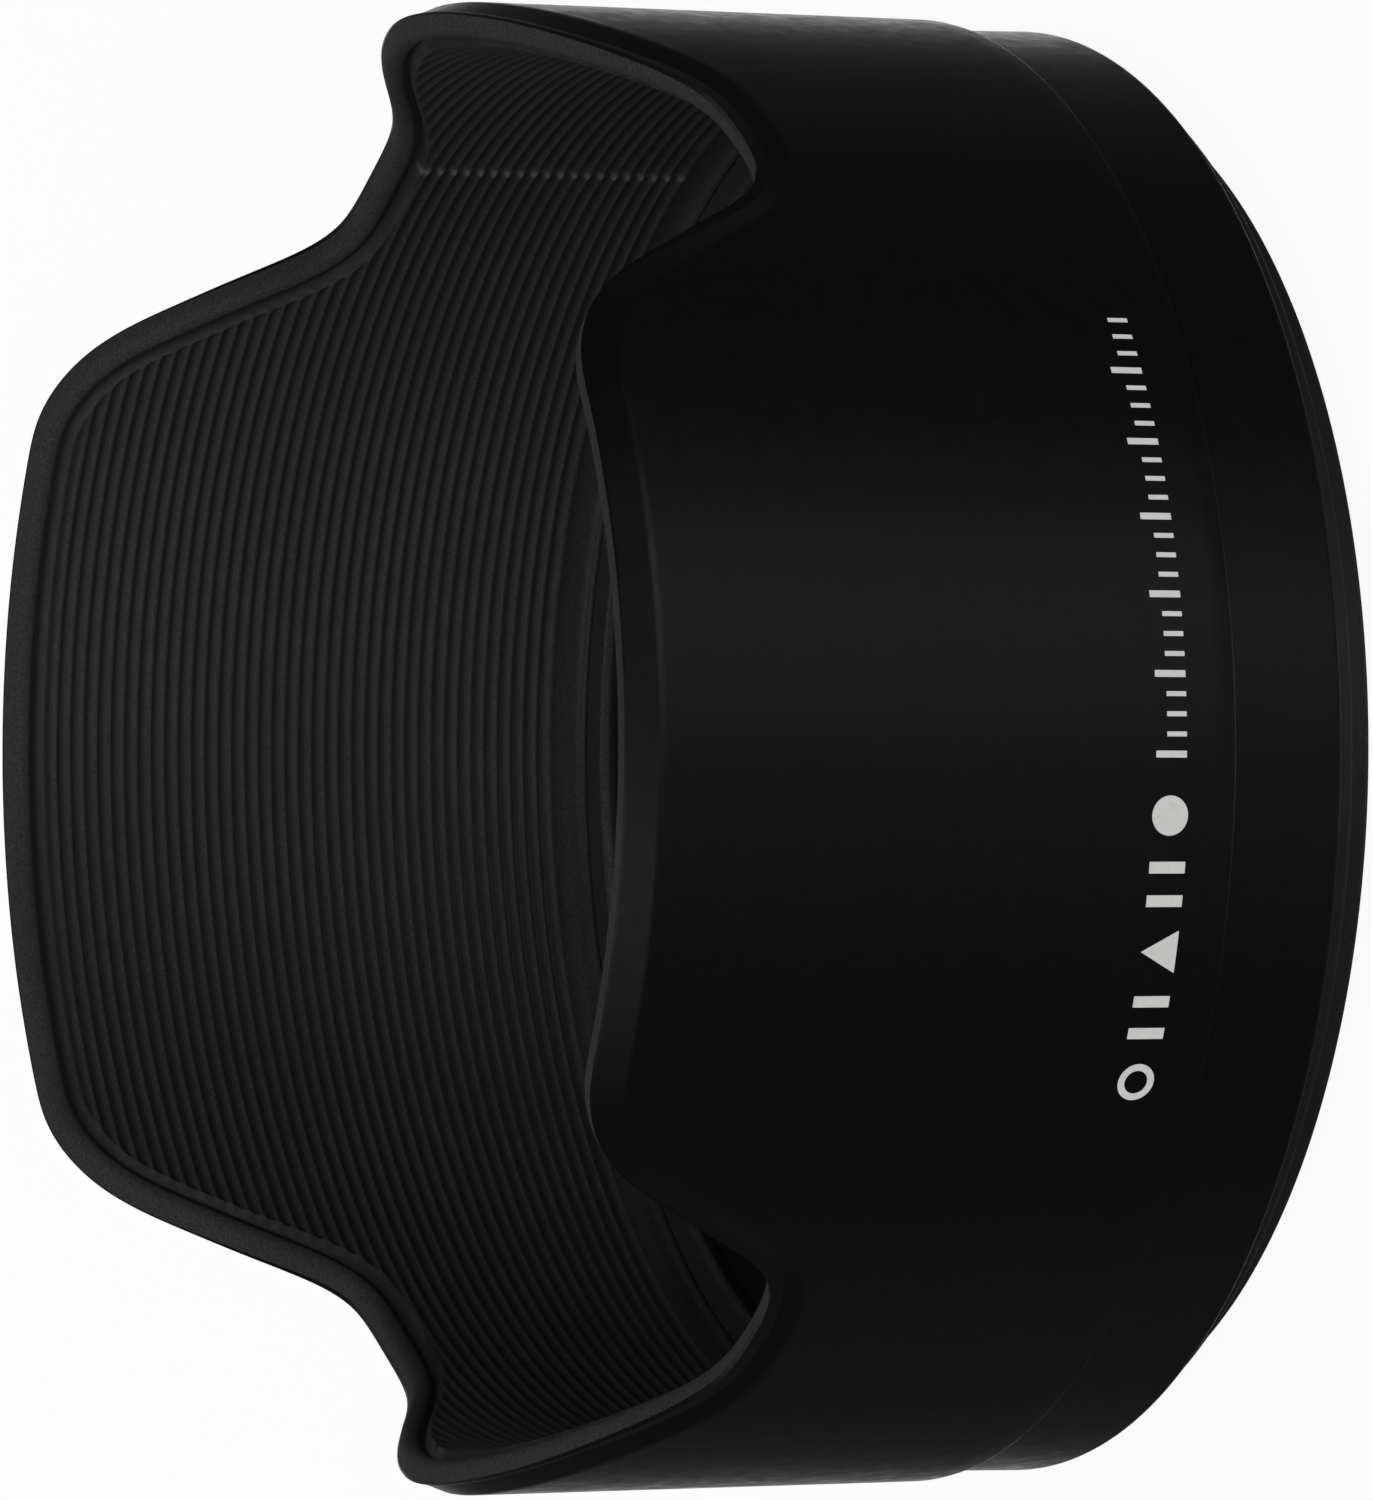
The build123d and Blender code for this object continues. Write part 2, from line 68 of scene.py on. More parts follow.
# Petal edge over one quarter: angle in degrees, drop below the tip.
PETAL_EDGE = [
    (0, 0.0), (9, 0.0), (18, 0.0), (24, 0.0), (26.5, 0.0), (28.5, 0.07), (30.6, 0.38),
    (32.8, 1.02), (35.1, 2.12), (37.5, 3.95), (39.9, 6.5), (42.4, 9.3), (44.6, 11.75),
    (46.5, 13.4), (48.4, 14.3), (50.7, 14.66), (54.0, 14.74), (57.5, 14.66), (60.8, 14.3),
    (64.6, 13.2), (69.0, 11.55), (74.4, 9.75), (80.0, 8.4), (85.0, 7.55), (90.0, 7.25),
]


def outer_r(z):
    return STEP_R + OUTER_FLARE * (z - STEP_Z)


def inner_r(z):
    return WALL_IN_R + INNER_FLARE * (z - SEAT_Z)


# -------------------------------------------------------------- petal edge
def path_lengths(points):
    return np.concatenate([[0], np.cumsum(np.hypot(*np.diff(points, axis=0).T))])


def sample_spline(points, steps):
    """Smooth cubic through the points, level at both ends: positions and unit tangents
    at steps + 1 places an equal length apart."""
    count = len(points)
    knots = path_lengths(points)
    spans = np.diff(knots)
    system = np.zeros((count, count))
    target = np.zeros((count, 2))
    system[0, 0] = system[-1, -1] = 1
    target[0] = target[-1] = (1, 0)
    for i in range(1, count - 1):
        before, after = spans[i - 1], spans[i]
        system[i, i - 1:i + 2] = after, 2 * (before + after), before
        target[i] = 3 * (after * (points[i] - points[i - 1]) / before
                         + before * (points[i + 1] - points[i]) / after)
    slopes = np.linalg.solve(system, target)

    def evaluate(at):
        i = np.clip(np.searchsorted(knots, at, side="right") - 1, 0, count - 2)
        x = ((at - knots[i]) / spans[i])[:, None]
        width = spans[i][:, None]
        position = ((2 * x**3 - 3 * x**2 + 1) * points[i]
                    + (x**3 - 2 * x**2 + x) * width * slopes[i]
                    + (-2 * x**3 + 3 * x**2) * points[i + 1]
                    + (x**3 - x**2) * width * slopes[i + 1])
        tangent = ((6 * x**2 - 6 * x) / width * points[i]
                   + (3 * x**2 - 4 * x + 1) * slopes[i]
                   + (-6 * x**2 + 6 * x) / width * points[i + 1]
                   + (3 * x**2 - 2 * x) * slopes[i + 1])
        return position, tangent

    fine = np.linspace(0, knots[-1], 4000)
    lengths = path_lengths(evaluate(fine)[0])
    even = np.interp(np.linspace(0, lengths[-1], steps + 1), lengths, fine)
    position, tangent = evaluate(even)
    return position, tangent / np.hypot(tangent[:, 0], tangent[:, 1])[:, None]


def petal_edge(quarter_steps):
    """Edge round the whole hood: angles, heights and the normal pointing into the wall,
    as an angle part and a height part."""
    points = np.array([(CREST_R * math.radians(a), TIP_Z - drop) for a, drop in PETAL_EDGE])
    position, tangent = sample_spline(points, quarter_steps)
    angle = position[:, 0] / CREST_R
    there, back = angle[:-1], angle[:0:-1]

    def mirrored(values, sign=1):
        return np.tile(np.concatenate([values[:-1], sign * values[:0:-1]]), 2)

    return (np.concatenate([there, math.pi - back, math.pi + there, 2 * math.pi - back]),
            mirrored(position[:, 1]),
            mirrored(tangent[:, 1] / CREST_R, sign=-1),
            mirrored(-tangent[:, 0]))


def inset(edge, distance):
    """Angles and heights of the edge moved into the wall."""
    angle, z, angle_normal, z_normal = edge
    return angle + angle_normal * distance, z + z_normal * distance


# ------------------------------------------------------------ mesh helpers
def link_object(name, mesh):
    obj = bpy.data.objects.new(name, mesh)
    bpy.context.scene.collection.objects.link(obj)
    return obj


def shade(mesh, sharp=None):
    """Smooth shading, with edges steeper than sharp degrees kept crisp."""
    mesh.shade_smooth()
    if sharp:
        mesh.set_sharp_from_angle(angle=math.radians(sharp))


def make(name, verts, faces, sharp=None):
    """Cleaned-up object from vertices in metres."""
    mesh = bpy.data.meshes.new(name)
    mesh.from_pydata([tuple(v) for v in verts], [], faces)
    bm = bmesh.new()
    bm.from_mesh(mesh)
    bmesh.ops.remove_doubles(bm, verts=bm.verts, dist=1e-6)
    bmesh.ops.dissolve_degenerate(bm, edges=bm.edges, dist=1e-7)
    bmesh.ops.recalc_face_normals(bm, faces=bm.faces)
    bm.to_mesh(mesh)
    bm.free()
    shade(mesh, sharp)
    return link_object(name, mesh)


def skin(rows, size, wrap=False, closed=True, flip=False):
    """Quads between rows of size points. wrap joins the last row to the first, closed
    joins the ends of each row."""
    faces = []
    for row in range(rows if wrap else rows - 1):
        here, there = row * size, (row + 1) % rows * size
        for i in range(size if closed else size - 1):
            j = (i + 1) % size
            quad = (here + i, there + i, there + j, here + j)
            faces.append((quad[0], *quad[:0:-1]) if flip else quad)
    return faces


def end_caps(rows, size):
    return [tuple(range(size)), tuple(range((rows - 1) * size, rows * size))]


def closed_band(name, rings, sharp=None):
    """Solid round the axis. Each ring is (angles, radius, z), and the last ring joins
    the first."""
    count = len(rings[0][0])
    angles, radii, heights = (
        np.stack([np.broadcast_to(values, count) for values in part], 1)
        for part in zip(*rings))
    verts = np.stack([radii * np.sin(angles), radii * np.cos(angles), heights], -1)
    return make(name, verts.reshape(-1, 3) * MM, skin(count, len(rings), wrap=True), sharp)


def tag(obj, name, values):
    """A number on every vertex, read by the materials."""
    attribute = obj.data.attributes.new(name, "FLOAT", "POINT")
    attribute.data.foreach_set("value", np.asarray(values, np.float32).ravel())


def rounded(points, radii, steps):
    """Closed polygon with its corners rounded. radii is a number or one per corner."""
    points = [np.array(p, float) for p in points]
    if np.isscalar(radii):
        radii = [radii] * len(points)
    result = []
    for i, (corner, radius) in enumerate(zip(points, radii)):
        if radius <= 0:
            result.append(tuple(corner))
            continue
        to_last = points[i - 1] - corner
        to_next = points[(i + 1) % len(points)] - corner
        last_length, next_length = np.linalg.norm(to_last), np.linalg.norm(to_next)
        to_last, to_next = to_last / last_length, to_next / next_length
        angle = math.acos(np.clip(to_last @ to_next, -1, 1))
        reach = min(radius / math.tan(angle / 2), last_length * 0.45, next_length * 0.45)
        for s in np.linspace(0, 1, steps + 1):
            result.append(tuple((1 - s) ** 2 * (corner + to_last * reach)
                                + 2 * s * (1 - s) * corner
                                + s * s * (corner + to_next * reach)))
    return result


def polar(radius, degrees, z):
    a = math.radians(degrees)
    return Vector((radius * math.sin(a), radius * math.cos(a), z))


def radial_frame(radius, degrees, z):
    """Matrix whose local x is tangential, y is up (+Z) and z points outward."""
    a = math.radians(degrees)
    tangent = Vector((-math.cos(a), math.sin(a), 0))
    outward = Vector((math.sin(a), math.cos(a), 0))
    matrix = Matrix((tangent, outward.cross(tangent), outward)).transposed().to_4x4()
    matrix.translation = polar(radius, degrees, z) * MM
    return matrix


LATCH_FRAME = radial_frame(0, LATCH_ANGLE, 0)


def boolean(obj, tool, operation="DIFFERENCE"):
    """Apply the tool to the object's mesh and remove the tool."""
    modifier = obj.modifiers.new("b", "BOOLEAN")
    modifier.operation = operation
    modifier.solver = "EXACT"
    modifier.object = tool
    depsgraph = bpy.context.evaluated_depsgraph_get()
    mesh = bpy.data.meshes.new_from_object(obj.evaluated_get(depsgraph))
    obj.modifiers.clear()
    old = obj.data
    obj.data = mesh
    bpy.data.meshes.remove(old)
    bpy.data.objects.remove(tool)


def sector(name, radii, angles, heights):
    """Block bent round the axis, about one facet per degree."""
    start, end = angles
    (r0, r1), (z0, z1) = radii, heights
    steps = max(2, int(end - start))
    verts = []
    for i in range(steps + 1):
        a = start + (end - start) * i / steps
        verts += [polar(r, a, z) * MM for r, z in ((r0, z0), (r1, z0), (r1, z1), (r0, z1))]
    faces = skin(steps + 1, 4) + end_caps(steps + 1, 4)
    return make(name, verts, faces, sharp=40)


def radial_pin(name, profile, degrees, z, base_r, sides=40):
    """Turned solid on a radial axis. profile is (radius, distance outward from base_r)."""
    matrix = radial_frame(base_r, degrees, z)
    size = len(profile)
    verts = []
    for i in range(sides):
        a = 2 * math.pi * i / sides
        verts += [matrix @ (Vector((r * math.cos(a), r * math.sin(a), out)) * MM)
                  for r, out in profile]
    faces = skin(sides, size, wrap=True, closed=False)
    faces += [tuple(range(end, sides * size, size)) for end in (0, size - 1)]
    return make(name, verts, faces, sharp=40)


def latch_block(name, width, heights, radii, corner, crown):
    """Block with rounded corners facing outward at the latch. crown rounds its outer rim."""
    (z0, z1), (r0, r1) = heights, radii
    half = np.array([width / 2, (z1 - z0) / 2])
    centre = np.array([0, (z0 + z1) / 2])
    outline = rounded([(-width / 2, z0), (width / 2, z0), (width / 2, z1), (-width / 2, z1)],
                      corner, 5)
    levels = [(r0, 0.0)]
    for a in np.linspace(0, math.pi / 2, 6):
        levels.append((r1 - crown + crown * math.sin(a), crown * (1 - math.cos(a))))
    verts = []
    for r, shrink in levels:
        for point in outline:
            x, z = centre + (np.array(point) - centre) * (1 - shrink / half)
            verts.append(LATCH_FRAME @ (Vector((x, z, r)) * MM))
    rows, size = len(levels), len(outline)
    return make(name, verts, skin(rows, size, flip=True) + end_caps(rows, size), sharp=40)


# ---------------------------------------------------------- shader helpers
def cleared_tree(block):
    block.use_nodes = True
    block.node_tree.nodes.clear()
    return block.node_tree


def is_socket(value):
    return isinstance(value, bpy.types.NodeSocket)


def add_node(tree, kind, inputs=None, **settings):
    """New shader node. Each input is given a value or linked from a socket."""
    node = tree.nodes.new("ShaderNode" + kind)
    for key, value in settings.items():
        setattr(node, key, value)
    for key, value in (inputs or {}).items():
        if is_socket(value):
            tree.links.new(value, node.inputs[key])
        else:
            node.inputs[key].default_value = value
    return node


def new_material(name):
    """Material, its tree, its Principled node and the object coordinates."""
    material = bpy.data.materials.new(name)
    tree = cleared_tree(material)
    output = add_node(tree, "OutputMaterial")
    bsdf = add_node(tree, "BsdfPrincipled")
    tree.links.new(bsdf.outputs[0], output.inputs[0])
    return material, tree, bsdf, add_node(tree, "TexCoord").outputs["Object"]


def noise(tree, vector, scale, detail, roughness=0.5, output="Fac"):
    return add_node(tree, "TexNoise", {"Scale": scale, "Detail": detail,
                                       "Roughness": roughness, "Vector": vector}).outputs[output]


def colour_ramp(tree, value, low, high, stops=(0.3, 0.7)):
    node = add_node(tree, "ValToRGB", {0: value})
    for element, position, colour in zip(node.color_ramp.elements, stops, (low, high)):
        element.position = position
        element.color = (*colour, 1)
    return node.outputs[0]


def map_range(tree, value, source, target):
    inputs = dict(enumerate((value, *source, *target)))
    return add_node(tree, "MapRange", inputs).outputs[0]


def mix_colour(tree, factor, a, b, blend="MIX"):
    a, b = (c if is_socket(c) else (*c, 1) for c in (a, b))
    return add_node(tree, "Mix", {0: factor, 6: a, 7: b},
                    data_type="RGBA", blend_type=blend).outputs[2]


def math_node(tree, operation, a, b):
    return add_node(tree, "Math", {0: a, 1: b}, operation=operation).outputs[0]


def attribute(tree, name):
    return add_node(tree, "Attribute", attribute_name=name).outputs["Fac"]


def add_bump(tree, bsdf, height, strength, depth):
    """Fine relief, depth in mm."""
    node = add_node(tree, "Bump", {"Strength": strength, "Distance": depth * MM,
                                   "Height": height})
    tree.links.new(node.outputs[0], bsdf.inputs["Normal"])


def camera_switch(tree, output, others, camera):
    """Show one shader to the camera and another to all other rays."""
    mix = add_node(tree, "MixShader", {1: others, 2: camera})
    path = add_node(tree, "LightPath")
    tree.links.new(path.outputs["Is Camera Ray"], mix.inputs[0])
    tree.links.new(mix.outputs[0], output.inputs[0])


# --------------------------------------------------------------- materials
DUST_COLOUR = (0.35, 0.34, 0.32)


def dust_mask(tree, coords, amount):
    """Sparse specks: the centres of a few randomly picked, slightly warped cells."""
    cells = add_node(tree, "TexVoronoi", {"Scale": 260})
    wobble = noise(tree, coords, scale=1500, detail=2, output="Color")
    warped = add_node(tree, "VectorMath", {0: wobble, 1: (0.0014, 0.0014, 0.0014), 2: coords},
                      operation="MULTIPLY_ADD")
    tree.links.new(warped.outputs[0], cells.inputs["Vector"])
    near = map_range(tree, cells.outputs["Distance"], (0.0, 0.035), (1.0, 0.0))
    cell_value = add_node(tree, "SeparateColor", {0: cells.outputs["Color"]}).outputs[0]
    picked = map_range(tree, cell_value, (0.982, 0.992), (0.0, 1.0))
    specks = math_node(tree, "MULTIPLY", near, picked)
    return math_node(tree, "MULTIPLY", specks, amount)


def plastic(name, colour, rough, spec, grain, mottle, dust, grain_scale=7000,
            groove_shade=None, parting_highlight=None, high_z=None, ledge_sheen=None):
    """Grained plastic. grain is its depth in mm, mottle the colour variation. The vertex tags
    mix in painted shade in grooves and recesses and a painted highlight along the parting line,
    and above high_z a lighter colour stands for painted sheen."""
    material, tree, bsdf, coords = new_material(name)
    broad = noise(tree, coords, scale=90, detail=4, roughness=0.55)
    medium = noise(tree, coords, scale=900, detail=3, roughness=0.6)
    fine = noise(tree, coords, scale=grain_scale, detail=2, roughness=0.6)
    base = colour_ramp(tree, broad, low=[c * (1 - mottle) for c in colour],
                       high=[c * (1 + mottle) for c in colour])
    speckle = colour_ramp(tree, fine, low=(0.62, 0.62, 0.62), high=(1.5, 1.5, 1.5),
                          stops=(0.32, 0.68))
    base = mix_colour(tree, 0.8, base, speckle, "MULTIPLY")
    base = mix_colour(tree, dust_mask(tree, coords, dust), base, DUST_COLOUR)
    # Painted shade where the vertices carry the shade tag.
    if groove_shade:
        base = mix_colour(tree, attribute(tree, "shade"), base, groove_shade)
    # Painted highlight along the parting line, from its own vertex tag.
    if parting_highlight:
        base = mix_colour(tree, attribute(tree, "parting_highlight"), base, parting_highlight)
    # Painted sheen: the surface above high_z is made lighter.
    if high_z:
        height = add_node(tree, "SeparateXYZ", {0: coords}).outputs["Z"]
        blend = (high_z * MM - 0.0001, high_z * MM + 0.0001)
        above = map_range(tree, height, blend, (0.0, 1.0))
        painted = mix_colour(tree, 0.8, ledge_sheen, speckle, "MULTIPLY")
        base = mix_colour(tree, above, base, painted)
    tree.links.new(base, bsdf.inputs["Base Color"])
    roughness = map_range(tree, medium, (0.3, 0.7), (rough - 0.05, rough + 0.06))
    tree.links.new(roughness, bsdf.inputs["Roughness"])
    bsdf.inputs["Specular IOR Level"].default_value = spec
    add_bump(tree, bsdf, fine, strength=0.6, depth=grain)
    return material


def metal(name, colour, rough):
    """Bare metal with its grain drawn out along Z."""
    material, tree, bsdf, coords = new_material(name)
    stretched = add_node(tree, "Mapping", {"Scale": (1, 1, 0.08), "Vector": coords}).outputs[0]
    streaks = noise(tree, stretched, scale=4000, detail=3, roughness=0.6)
    broad = noise(tree, coords, scale=700, detail=3)
    base = colour_ramp(tree, broad, low=[c * 0.75 for c in colour],
                       high=[min(1, c * 1.15) for c in colour])
    tree.links.new(base, bsdf.inputs["Base Color"])
    bsdf.inputs["Metallic"].default_value = 1.0
    roughness = map_range(tree, streaks, (0.3, 0.7), (rough - 0.08, rough + 0.12))
    tree.links.new(roughness, bsdf.inputs["Roughness"])
    add_bump(tree, bsdf, streaks, strength=0.4, depth=0.004)
    return material


def paint(name):
    """White print, slightly glowing so that it stays white under the dim light."""
    material, tree, bsdf, coords = new_material(name)
    medium = noise(tree, coords, scale=3000, detail=3, roughness=0.6)
    fine = noise(tree, coords, scale=9000, detail=2, roughness=0.6)
    base = colour_ramp(tree, medium, low=(0.58, 0.58, 0.58), high=(0.74, 0.74, 0.73))
    tree.links.new(base, bsdf.inputs["Base Color"])
    roughness = map_range(tree, fine, (0.3, 0.7), (0.45, 0.65))
    tree.links.new(roughness, bsdf.inputs["Roughness"])
    bsdf.inputs["Specular IOR Level"].default_value = 0.3
    bsdf.inputs["Emission Color"].default_value = (1.0, 1.0, 0.98, 1.0)
    bsdf.inputs["Emission Strength"].default_value = 0.34
    add_bump(tree, bsdf, fine, strength=0.5, depth=0.004)
    return material


PLASTICS = {
    "satin_black_shell": dict(
        colour=(0.0050, 0.0046, 0.0043), rough=0.30, spec=0.32, grain=0.008,
        grain_scale=6500, mottle=0.06, dust=0.25),
    # Its last colour is painted shade in the recess under the lip.
    "matte_trim": dict(
        colour=(0.097, 0.097, 0.098), rough=0.70, spec=0.2, grain=0.002,
        grain_scale=8000, mottle=0.12, dust=0.3, groove_shade=(0.046, 0.046, 0.047)),
    # Its last two colours are painted shade in the grooves and a painted highlight along the
    # parting line.
    "matte_liner": dict(
        colour=(0.082, 0.082, 0.085), rough=0.52, spec=0.45, grain=0.005,
        grain_scale=8000, mottle=0.12, dust=0.4, groove_shade=(0.038, 0.038, 0.039),
        parting_highlight=(0.30, 0.30, 0.31)),
    # Its last colour is a painted sheen on the front ledge, everything above high_z.
    "ring_plastic": dict(
        colour=(0.026, 0.026, 0.026), rough=0.42, spec=0.35, grain=0.005, mottle=0.15,
        dust=0.3, high_z=10.6, ledge_sheen=(0.085, 0.085, 0.086)),
    "button_plastic": dict(
        colour=(0.012, 0.012, 0.012), rough=0.45, spec=0.35, grain=0.008, mottle=0.15,
        dust=0.4),
    "lever_plastic": dict(
        colour=(0.03, 0.03, 0.03), rough=0.35, spec=0.45, grain=0.003, mottle=0.1, dust=0.1),
    "cover_plastic": dict(
        colour=(0.022, 0.022, 0.022), rough=0.55, spec=0.3, grain=0.008, mottle=0.15,
        dust=0.3),
}
METALS = {
    "screw_steel": dict(colour=(0.10, 0.10, 0.105), rough=0.38),
    "pin_steel": dict(colour=(0.62, 0.62, 0.64), rough=0.22),
    "spring_steel": dict(colour=(0.55, 0.55, 0.57), rough=0.28),
}
MATERIALS = {name: plastic(name, **look) for name, look in PLASTICS.items()}
MATERIALS.update({name: metal(name, **look) for name, look in METALS.items()})
MATERIALS["white_paint"] = paint("white_paint")


def dress(obj, material, node, part="hood"):
    """Give the object its material and let it stand in for a CAD node."""
    obj.data.materials.clear()
    obj.data.materials.append(MATERIALS[material])
    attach(obj, part)
    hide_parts(node)


# ------------------------------------------------------------- outer shell
BUTTON_WIDTH = 8.6
BUTTON_Z = (4.0, 8.6)
WINDOW_GAP = 0.28           # on each side of the button
WINDOW_GAP_Z = 0.12         # below and above it
LEVER_Z = (3.6, 7.4)        # height range cleared for the latch lever
LEVER_START = -18.0         # where that clearance begins, degrees

CHAMFER_R, CHAMFER_Z = 0.69, 1.82   # chamfer outside the petal edge: radial depth, inset
CHAMFER_SOFT = 0.10         # half width of the softened outer edge of the chamfer
CHAMFER_EXTRA = 0.03        # added to the radial depth of the flat chamfer
EDGE_EASE = 0.012           # small pull-in at both edges of the chamfer
CREST_INSET = 0.0151        # insets up to this count as the chamfer's top edge
TRIM_LAP_R = CREST_R - 0.015
TRIM_LAP_DEPTH = 1.0        # depth of the ledge under the trim
BLEND_Z = 22                # below this the barrel is plain
EDGE_INSETS = [3.2, 2.6, 2.15, 1.98, 1.88, 1.80, 1.72, 1.6, 1.2, 0.8, 0.4, 0.16, 0.07,
               0.015, 0.0]


def chamfer_r(z, depth):
    """Outer radius of the shell at an inset depth from the petal edge."""
    radius = outer_r(z)
    if depth >= CHAMFER_Z + CHAMFER_SOFT:
        return radius
    if depth > CHAMFER_Z - CHAMFER_SOFT:
        s = (depth - (CHAMFER_Z - CHAMFER_SOFT)) / (2 * CHAMFER_SOFT)
        return radius - EDGE_EASE - (1 - s) ** 2 * (CHAMFER_R * CHAMFER_SOFT / CHAMFER_Z)
    radius = radius - (CHAMFER_R + CHAMFER_EXTRA) * (CHAMFER_Z - depth) / CHAMFER_Z
    return radius - EDGE_EASE if depth <= CREST_INSET else radius


def cut_window(obj):
    """Opening for the release button."""
    z0, z1 = BUTTON_Z
    boolean(obj, latch_block("cutter", BUTTON_WIDTH + 2 * WINDOW_GAP,
                             heights=(z0 - WINDOW_GAP_Z, z1 + WINDOW_GAP_Z),
                             radii=(35.0, 42.0), corner=0.5, crown=0.0001))


def build_shell(edge):
    angle = edge[0]
    band = rounded([(BORE_R, REAR_Z), (BAND_R, REAR_Z), (BAND_R, STEP_Z), (STEP_R, STEP_Z)],
                   [0, 0.5, 0.12, 0], 5)[:-1]
    step = [(STEP_R - 0.20, STEP_Z), (STEP_R - 0.10, STEP_Z + 0.02),
            (STEP_R - 0.03, STEP_Z + 0.09), (STEP_R, STEP_Z + 0.22)]
    barrel = [(outer_r(z), z) for z in (11, 14, 18, BLEND_Z)]
    rings = [(angle, r, z) for r, z in band + step + barrel]

    # The columns lean over gradually to meet the petal edge squarely.
    top_angle, top_z = inset(edge, EDGE_INSETS[0])
    for k in (0.3, 0.6, 0.85):
        z = BLEND_Z + (top_z - BLEND_Z) * k
        rings.append((angle + (top_angle - angle) * k ** 2, outer_r(z), z))
    for depth in EDGE_INSETS:
        a, z = inset(edge, depth)
        rings.append((a, chamfer_r(z, depth), z))

    # Ledge under the trim, then down the inner wall to the seat.
    for depth in (0.01, TRIM_LAP_DEPTH):
        a, z = inset(edge, depth)
        rings.append((a, TRIM_LAP_R, z))
    rings.append((a, inner_r(z), z))
    rings += [(angle, inner_r(z), z) for z in (24.0, SEAT_Z)]
    rings.append((angle, BORE_R, SEAT_Z))
    shell = closed_band("hood_barrel", rings, sharp=50)

    cut_window(shell)
    # Room behind the lever.
    boolean(shell, sector("cutter", (36.0, 37.65), (LEVER_START, 9.0), LEVER_Z))
    shade(shell.data, 50)
    return shell


# -------------------------------------------------------------------- trim
# Section of the trim: radius, inset from the petal edge, painted shade tag (the recess under the
# lip is painted darker).
TRIM_SECTION = [
    (37.87, 1.33, 1.0), (37.87, 1.19, 1.0), (37.79, 1.08, 0.8), (37.70, 0.95, 0.3),
    (37.65, 0.78, 0.1), (37.67, 0.52, 0.0), (37.78, 0.28, 0.0), (37.96, 0.13, 0.0),
    (38.24, 0.05, 0.0), (38.58, 0.02, 0.0), (38.84, 0.01, 0.0), (38.93, 0.02, 0.0),
    (38.96, 0.08, 0.0), (38.96, 0.98, 0.0), (38.2, 0.98, 0.0), (38.2, 1.33, 1.0),
]


def build_trim(edge):
    rings = []
    for radius, depth, _ in TRIM_SECTION:
        a, z = inset(edge, depth)
        rings.append((a, radius, z))
    trim = closed_band("petal_edge_trim", rings, sharp=60)
    # Painted shade in the recess under the lip, from the last column of the section.
    tag(trim, "shade", np.tile([row[2] for row in TRIM_SECTION], len(edge[0])))
    return trim


# ------------------------------------------------------------------- liner
RIB_R, RIB_REF_Z = 37.04, 24.6      # radius of the rib crests at a reference height
GROOVE_DEPTH, GROOVE_PITCH, GROOVE_COUNT = 0.25, 0.793, 38
GROOVE_FIRST_Z = 43.06
GROOVE_LAST_Z = GROOVE_FIRST_Z - GROOVE_PITCH * (GROOVE_COUNT - 1)
# Section of one groove: height from its middle, depth, height of the parting ridge.
GROOVE_SECTION = [(0.33, 0, 0.09), (0.13, GROOVE_DEPTH, 0.10),
                  (-0.13, GROOVE_DEPTH, 0.10), (-0.33, 0, 0.09)]
GROOVE_RUN_OUT = 0.35       # length over which a groove fades at the petal edge
LINER_INSET = 1.35          # top of the liner below the petal edge
LINER_RIM = 0.28            # height of the plain rim above the grooves
LINER_GAP = 0.03            # between the liner and the inner wall
PARTING = math.radians(58.7)        # parting line, repeated half a turn away
PARTING_JOG = 0.10          # height mismatch of the ribs across the parting line
FOOT_RIDGE = 0.03           # height of the parting ridge below the grooves


def rib_r(z):
    return RIB_R + INNER_FLARE * (z - RIB_REF_Z)


def parting_degrees(angle):
    """Signed angle to the nearer parting line."""
    return np.degrees((angle - PARTING + math.pi / 2) % math.pi - math.pi / 2)


